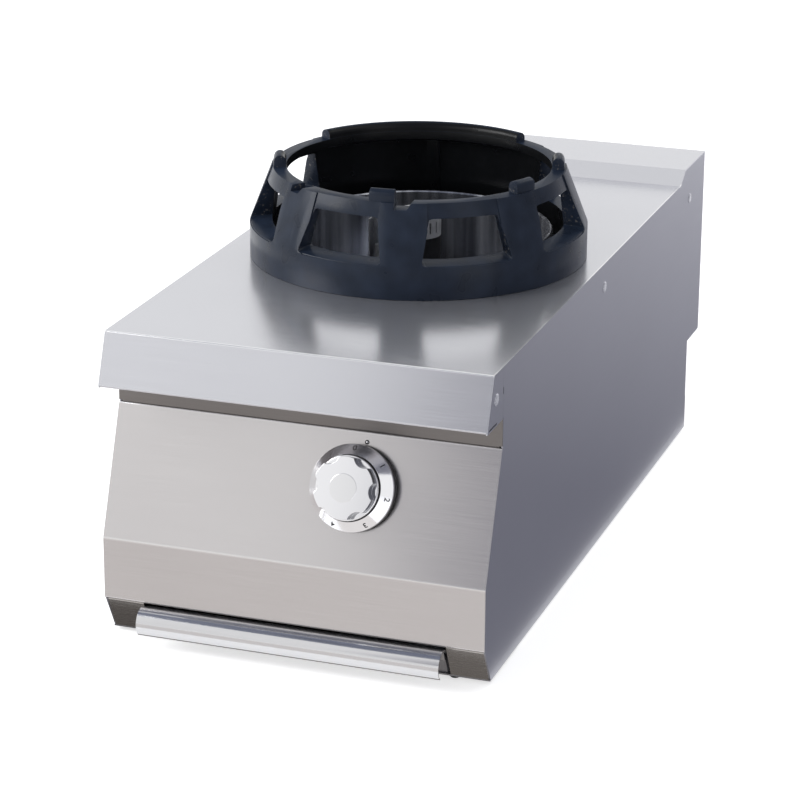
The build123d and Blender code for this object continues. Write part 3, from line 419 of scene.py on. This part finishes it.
# ---------------------------------------------------------------- burner
# A body of cast iron, coated matt black, carries a crown of machined steel with the flame
# ports and a cap that lifts off.
def cast_iron(name, colour, worn, rough):
    """Coated sand-cast iron: black, faintly pebbled, and worn paler in patches.

    On the ring it is scuffed to bare grey on the walls of the windows. Faces that look up get
    hardly any reflection, as painted shade, and faces that look towards the burner are near
    black.
    """
    pebble_mm = 2.4
    pebble_depth = 0.0006
    patches_per_metre = 45.0         # 22 mm each
    chips_per_metre = 260.0          # 4 mm each, coarser than real chips, to show
    material, tree, shader = new_material(name)
    coordinates = add_node(tree, "ShaderNodeTexCoord", {})
    place, facing = coordinates.outputs["Object"], coordinates.outputs["Normal"]
    pebbles = add_node(tree, "ShaderNodeTexNoise", {"Vector": place, "Detail": 1.0,
                                                    "Scale": 1000.0 / pebble_mm})
    patches = add_node(tree, "ShaderNodeTexNoise", {"Vector": place, "Detail": 1.0,
                                                    "Scale": patches_per_metre})
    wear = add_node(tree, "ShaderNodeMapRange", {0: patches.outputs[0], 1: 0.2, 2: 0.8})
    coat = add_node(tree, "ShaderNodeMix", {0: wear.outputs[0], 6: linear(colour),
                                            7: linear(worn)}, data_type="RGBA")
    # How far a face looks up, and how far it looks away from the burner.
    upward = add_node(tree, "ShaderNodeSeparateXYZ", {0: facing}).outputs["Z"]
    from_burner = add_node(tree, "ShaderNodeMapping", {"Vector": place, "Scale": (1, 1, 0),
                                                       "Location": (0, -burner_y, 0)})
    away = add_node(tree, "ShaderNodeVectorMath", {0: from_burner.outputs[0]},
                    operation="NORMALIZE")
    outward = add_node(tree, "ShaderNodeVectorMath", {0: away.outputs[0], 1: facing},
                       operation="DOT_PRODUCT").outputs["Value"]
    # The windows' walls look neither up nor down, nor to or from the burner.
    square = add_node(tree, "ShaderNodeMath", {0: outward, 1: outward}, operation="MULTIPLY")
    other_way = add_node(tree, "ShaderNodeMath", {0: upward, 1: upward, 2: square.outputs[0]},
                         operation="MULTIPLY_ADD")
    window_wall = add_node(tree, "ShaderNodeMapRange", {0: other_way.outputs[0], 1: 0.5,
                                                        2: 0.25})
    chips = add_node(tree, "ShaderNodeTexNoise", {"Vector": place, "Scale": chips_per_metre,
                                                  "Detail": 4.0, "Roughness": 0.6})
    chipped = add_node(tree, "ShaderNodeMapRange", {0: chips.outputs[0], 1: 0.59, 2: 0.66,
                                                    3: 0.0, 4: 0.6})
    scuffed = add_node(tree, "ShaderNodeMath", {0: chipped.outputs[0],
                                                1: window_wall.outputs[0]},
                       operation="MULTIPLY")
    # Faces that look towards the burner are darkened to near black.
    inside = add_node(tree, "ShaderNodeMapRange", {0: outward, 1: -0.2, 2: -0.6})
    near_black_inward = add_node(tree, "ShaderNodeMix", {0: inside.outputs[0], 6: coat.outputs[2],
                                              7: linear("#101113")}, data_type="RGBA")
    tint = add_node(tree, "ShaderNodeMix", {0: scuffed.outputs[0], 6: near_black_inward.outputs[2],
                                            7: linear("#77736f")}, data_type="RGBA")
    # Faces that look up lose most of their reflection: painted shade.
    shine = add_node(tree, "ShaderNodeMapRange", {0: upward, 1: 0.6, 2: 0.9, 3: 0.22,
                                                  4: 0.03})
    gloss = add_node(tree, "ShaderNodeMapRange", {0: patches.outputs[0], 1: 0.2, 2: 0.8,
                                                  3: rough[0], 4: rough[1]})
    relief = add_node(tree, "ShaderNodeBump", {"Height": pebbles.outputs[0], "Strength": 0.14,
                                               "Distance": pebble_depth})
    set_inputs(tree, shader, {"Base Color": tint.outputs[2], "Roughness": gloss.outputs[0],
                              "Specular IOR Level": shine.outputs[0],
                              "Normal": relief.outputs[0]})
    return material


body_iron = cast_iron("matt_black_cast_iron", "#17171a", "#26262a", (0.5, 0.65))
finish(nodes["burner_body"], body_iron)
# The crown and its cap keep the even pale grey of the lathe, and hardly any tarnish.
crown_steel = plain_metal("machined_steel", "#d4d5d8", "#c0c1c5", (0.30, 0.42), 6.0, 0.03,
                          metallic=0.55)
finish(nodes["burner_crown"], crown_steel)
finish(nodes["burner_cap"], crown_steel)


# ---------------------------------------------------------------- wok ring
# Grey cast iron in one piece, fettled and coated satin black. Sand casting leaves every
# edge a little round and the faces faintly pebbled. It stands loose on the worktop.
def only(piece):
    """Selects one piece and makes it active."""
    bpy.ops.object.select_all(action="DESELECT")
    piece.select_set(True)
    bpy.context.view_layer.objects.active = piece


def apply_modifier(piece, kind, **settings):
    """Adds a modifier with its settings and applies it."""
    change = piece.modifiers.new(kind, kind)
    for key, value in settings.items():
        setattr(change, key, value)
    only(piece)
    bpy.ops.object.modifier_apply(modifier=change.name)


def round_edges(piece, width, steps, over):
    """Rounds the edges that turn by more than `over` degrees."""
    apply_modifier(piece, "BEVEL", width=width, segments=steps, limit_method="ANGLE",
                   angle_limit=math.radians(over))


# The casting is a copy of the CAD one, merged, with its edges rounded as the sand leaves them.
ring_edge = 0.0014
ring_sharp = 38.0                # degrees: edges that turn less are part of a curve
same_place = 0.00001
same_plane = 0.5                 # degrees
ring = bpy.data.objects.new("wok_ring_casting", nodes["wok_ring"].data.copy())
bpy.context.scene.collection.objects.link(ring)
only(ring)
bpy.ops.object.mode_set(mode="EDIT")
bpy.ops.mesh.select_all(action="SELECT")
bpy.ops.mesh.remove_doubles(threshold=same_place)
bpy.ops.mesh.customdata_custom_splitnormals_clear()
bpy.ops.mesh.dissolve_limited(angle_limit=math.radians(same_plane))
bpy.ops.object.mode_set(mode="OBJECT")
round_edges(ring, ring_edge, steps=3, over=ring_sharp)
bpy.ops.object.shade_smooth_by_angle(angle=math.radians(ring_sharp))
# Its coat is a blue-black satin, glossier than the burner's.
finish(ring, cast_iron("satin_black_cast_iron", "#1e2531", "#283141", (0.25, 0.36)))
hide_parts("wok_ring")
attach(ring, "wok_ring_body")

# ---------------------------------------------------------------- knob's grip
# A die-cast grip on a low skirt, pushed onto the tap's stem, polished and chromed. Six round
# flutes give the fingers their hold. All of the knob is made round Z and then seated.
knob_joint = next(j for j in frame["joints"] if j["name"] == "knob_turn")
knob_side = Vector((1, 0, 0))
knob_out = Vector(knob_joint["axis"])
knob_turned = Matrix((knob_side, knob_out.cross(knob_side), knob_out)).transposed().to_4x4()
knob_base = Matrix.Translation(knob_joint["pos_m"]) @ knob_turned
grip_radius = 0.0306
grip_foot = 0.0232               # the skirt stands this far off the control panel
skirt_height = 0.004
skirt_top = grip_foot + skirt_height
skirt_radius = 0.032
grip_face = 0.0378
flutes = 6
flute_radius = 0.011
flute_centre = 0.037
flute_past = 0.015               # the cutter runs past both ends of the grip by this
grip_edge = 0.0013
skirt_edge = 0.0009

# Chrome is almost a mirror, with no grain. The grip's upright walls get a dark grey copy of
# it: painted reflection of the dial and of each other, which they mirror.
chrome = plain_metal("bright_chrome", "#f1f1f3", "#e8e8eb", (0.07, 0.13), 30.0, 0.0)
painted_wall_chrome = plain_metal("shaded_chrome", "#6d6f74", "#626469", (0.08, 0.14), 30.0, 0.0)


def drum(radius, foot, top, steps, centre=(0.0, 0.0)):
    """A closed cylinder between two heights, with its place in its mesh."""
    bpy.ops.mesh.primitive_cylinder_add(vertices=steps, radius=radius, depth=top - foot,
                                        location=(*centre, (foot + top) / 2))
    bpy.ops.object.transform_apply(location=True, rotation=True, scale=True)
    return bpy.context.object


def even_normals(piece, angle=35):
    """Smooth shading that leaves large flat faces flat."""
    only(piece)
    bpy.ops.object.shade_smooth_by_angle(angle=math.radians(angle))
    apply_modifier(piece, "WEIGHTED_NORMAL", mode="FACE_AREA", weight=100, keep_sharp=True)


def seat_on_panel(piece, body):
    """Moves a piece made round Z onto the knob's axis, to ride on a body."""
    piece.data.transform(knob_base)
    piece.data.update()
    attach(piece, body)


grip = drum(grip_radius, skirt_top, grip_face, 96)
grip.name = "knob_grip_cast"
for flute in range(flutes):
    angle = 2 * math.pi * flute / flutes
    cutter = drum(flute_radius, skirt_top - flute_past, grip_face + flute_past, 48,
                  (flute_centre * math.cos(angle), flute_centre * math.sin(angle)))
    apply_modifier(grip, "BOOLEAN", object=cutter, solver="EXACT")
    bpy.data.objects.remove(cutter)
round_edges(grip, grip_edge, steps=4, over=40)
skirt = drum(skirt_radius, grip_foot, skirt_top, 96)
round_edges(skirt, skirt_edge, steps=3, over=40)
only(grip)
skirt.select_set(True)
bpy.ops.object.join()
even_normals(grip)
finish(grip, chrome, painted_wall_chrome)
# The flutes' walls take the painted reflection grey.
wall_lean = 0.35                 # a wall's normal leans no further along the knob's axis
for face in grip.data.polygons:
    if abs(face.normal.z) < wall_lean and face.center.z > skirt_top:
        face.material_index = 1
seat_on_panel(grip, "knob_body")
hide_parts("knob_grip")

# ---------------------------------------------------------------- knob's centre disc
# A thin chromed disc, pressed into the middle of the grip's face. It stands a hair proud,
# and is brushed round to a satin that is duller than the grip.
disc_radius = 0.014
disc_thickness = 0.0012
disc_proud = 0.0003
disc_edge = 0.0004
satin_chrome = plain_metal("satin_chrome", "#efeff0", "#e9e9ea", (0.16, 0.2), 30.0, 0.0)
disc = drum(disc_radius, grip_face + disc_proud - disc_thickness, grip_face + disc_proud, 72)
disc.name = "knob_disc_pressed"
round_edges(disc, disc_edge, steps=3, over=40)
even_normals(disc)
finish(disc, satin_chrome)
seat_on_panel(disc, "knob_body")
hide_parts("knob_disc")

# ---------------------------------------------------------------- dial
# A cone turned from metal and chromed, open towards the panel. Its lower wall is painted
# black, as painted shade for the dark gap under the dial. It sits behind the grip and turns
# with it.
dial_radius = 0.043
dial_foot = 0.0042               # gap between the skirt and the panel
black_top = 0.0096               # the painted black of the lower wall meets the chromed edge here
edge_top = 0.0126
edge_rise = 0.0006               # the small chamfer between the edge and the cone
edge_run = 0.0008
mouth_radius = 0.033             # the cone ends in a flat, open in the middle for the stem
dial_top = 0.0216
hole_radius = 0.024
dial_wall = 0.0025
under_mouth_radius = 0.032
under_edge = 0.001               # the wall's inside ends this far below the edge
dial_edge = 0.0003
dial_profile = [(hole_radius, dial_top - dial_wall),
                (under_mouth_radius, dial_top - dial_wall),
                (dial_radius - dial_wall, edge_top - under_edge),
                (dial_radius - dial_wall, dial_foot),
                (dial_radius, dial_foot),
                (dial_radius, black_top),
                (dial_radius, edge_top),
                (dial_radius - edge_run, edge_top + edge_rise),
                (mouth_radius, dial_top),
                (hole_radius, dial_top)]
# A deep even black with a low gloss: painted shade on the dial's lower wall, on the flat
# behind the grip and in the ring round the index stud.
painted_shade_black = matt_black("painted_shade_black_matt", "#0c0c0d", 0.45)
bpy.ops.mesh.primitive_circle_add(vertices=144, radius=dial_profile[0][0],
                                  location=(0, 0, dial_profile[0][1]))
dial = bpy.context.object
dial.name = "dial_ring_turned"
bpy.ops.object.transform_apply(location=True, rotation=True, scale=True)
bpy.ops.object.mode_set(mode="EDIT")
bpy.ops.mesh.select_all(action="SELECT")
for (radius, height), (next_radius, next_height) in zip(dial_profile, dial_profile[1:]):
    bpy.ops.mesh.extrude_region()
    grow = next_radius / radius
    bpy.ops.transform.resize(value=(grow, grow, 1), center_override=(0, 0, height))
    bpy.ops.transform.translate(value=(0, 0, next_height - height))
bpy.ops.mesh.select_all(action="SELECT")
bpy.ops.mesh.region_to_loop()
bpy.ops.mesh.bridge_edge_loops()
bpy.ops.mesh.select_all(action="SELECT")
bpy.ops.mesh.normals_make_consistent(inside=False)
bpy.ops.object.mode_set(mode="OBJECT")
round_edges(dial, dial_edge, steps=2, over=30)
even_normals(dial)
finish(dial, chrome, painted_shade_black)
# The lower wall is painted black, as shade for the gap under the dial, and so is the flat
# behind the grip, as painted shadow of the grip.
flat_low = dial_top - 0.0001
for face in dial.data.polygons:
    if face.center.z < black_top or face.center.z > flat_low:
        face.material_index = 1
seat_on_panel(dial, "knob_body")
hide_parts("dial_ring")

# ---------------------------------------------------------------- index stud
# A bright domed rivet, fixed in the control panel just above the dial, with a thin black ring
# round it: painted shade for the dark outline round the rivet. It shows where the dial is set.
stud_low, stud_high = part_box("index_stud")
stud_x = (stud_low.x + stud_high.x) / 2 - knob_joint["pos_m"][0]
stud_up = 0.0456                 # up the panel's slope from the knob's axis
dome_radius = 0.0014
dome_flattened = 0.6
dome_off_panel = 0.0002
collar_radius = 0.0017
collar_thickness = 0.0005        # radius of its round section
collar_off_panel = 0.0003
bpy.ops.mesh.primitive_uv_sphere_add(segments=32, ring_count=16, radius=dome_radius)
dome = bpy.context.object
dome.name = "index_stud_dome"
bpy.ops.transform.resize(value=(1, 1, dome_flattened))
bpy.ops.object.transform_apply(location=True, rotation=True, scale=True)
bpy.ops.mesh.primitive_torus_add(major_radius=collar_radius, minor_radius=collar_thickness,
                                 major_segments=40, minor_segments=12)
collar = bpy.context.object
collar.name = "index_stud_shade_ring"
for piece, look, off_panel in ((dome, chrome, dome_off_panel),
                               (collar, painted_shade_black, collar_off_panel)):
    only(piece)
    bpy.ops.object.shade_smooth()
    finish(piece, look)
    piece.data.transform(Matrix.Translation((stud_x, stud_up, off_panel)))
    seat_on_panel(piece, "casing")
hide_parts("index_stud")

# ---------------------------------------------------------------- dial's figures
# Plain figures, 0 to 4, printed in matt black ink on the dial's cone. They stand 50 degrees
# apart and run clockwise from the top.
figure_count = 5
figure_step = 50                 # degrees
figure_radius = 0.0390
figure_rise = 0.0162             # of the dial's cone at that radius, above the panel
figure_height = 0.0082
ink_thickness = 0.00008
stroke_widened = 0.00012
cone_lean = math.atan2(dial_top - edge_top - edge_rise,
                       dial_radius - edge_run - mouth_radius)
ink = matt_black("dial_ink", "#18181a", 0.5)
for figure in range(figure_count):
    bpy.ops.object.text_add()
    text = bpy.context.object.data
    text.body = str(figure)
    text.size = figure_height
    text.align_x = "CENTER"
    text.align_y = "CENTER"
    text.extrude = ink_thickness
    text.offset = stroke_widened
    only(bpy.context.object)
    bpy.ops.object.convert(target="MESH")
    mark = bpy.context.object
    mark.name = "dial_figure_" + str(figure)
    turn = Matrix.Rotation(-math.radians(figure_step * figure), 4, "Z")
    out = Matrix.Translation((0, figure_radius, figure_rise))
    mark.data.transform(turn @ out @ Matrix.Rotation(-cone_lean, 4, "X"))
    finish(mark, ink)
    seat_on_panel(mark, "knob_body")

# ---------------------------------------------------------------- drip tray's handle
# A half-round rail folded from stainless sheet, with a flange along the tray's front wall.
# It is polished lengthwise, and mirrors what is above and below it in clear bands.
rail_steel = brushed_steel("polished_rail", "#dcdcde", "#cacacc", across_x, (0.10, 0.18), 0.02)
finish(nodes["tray_handle"], rail_steel)
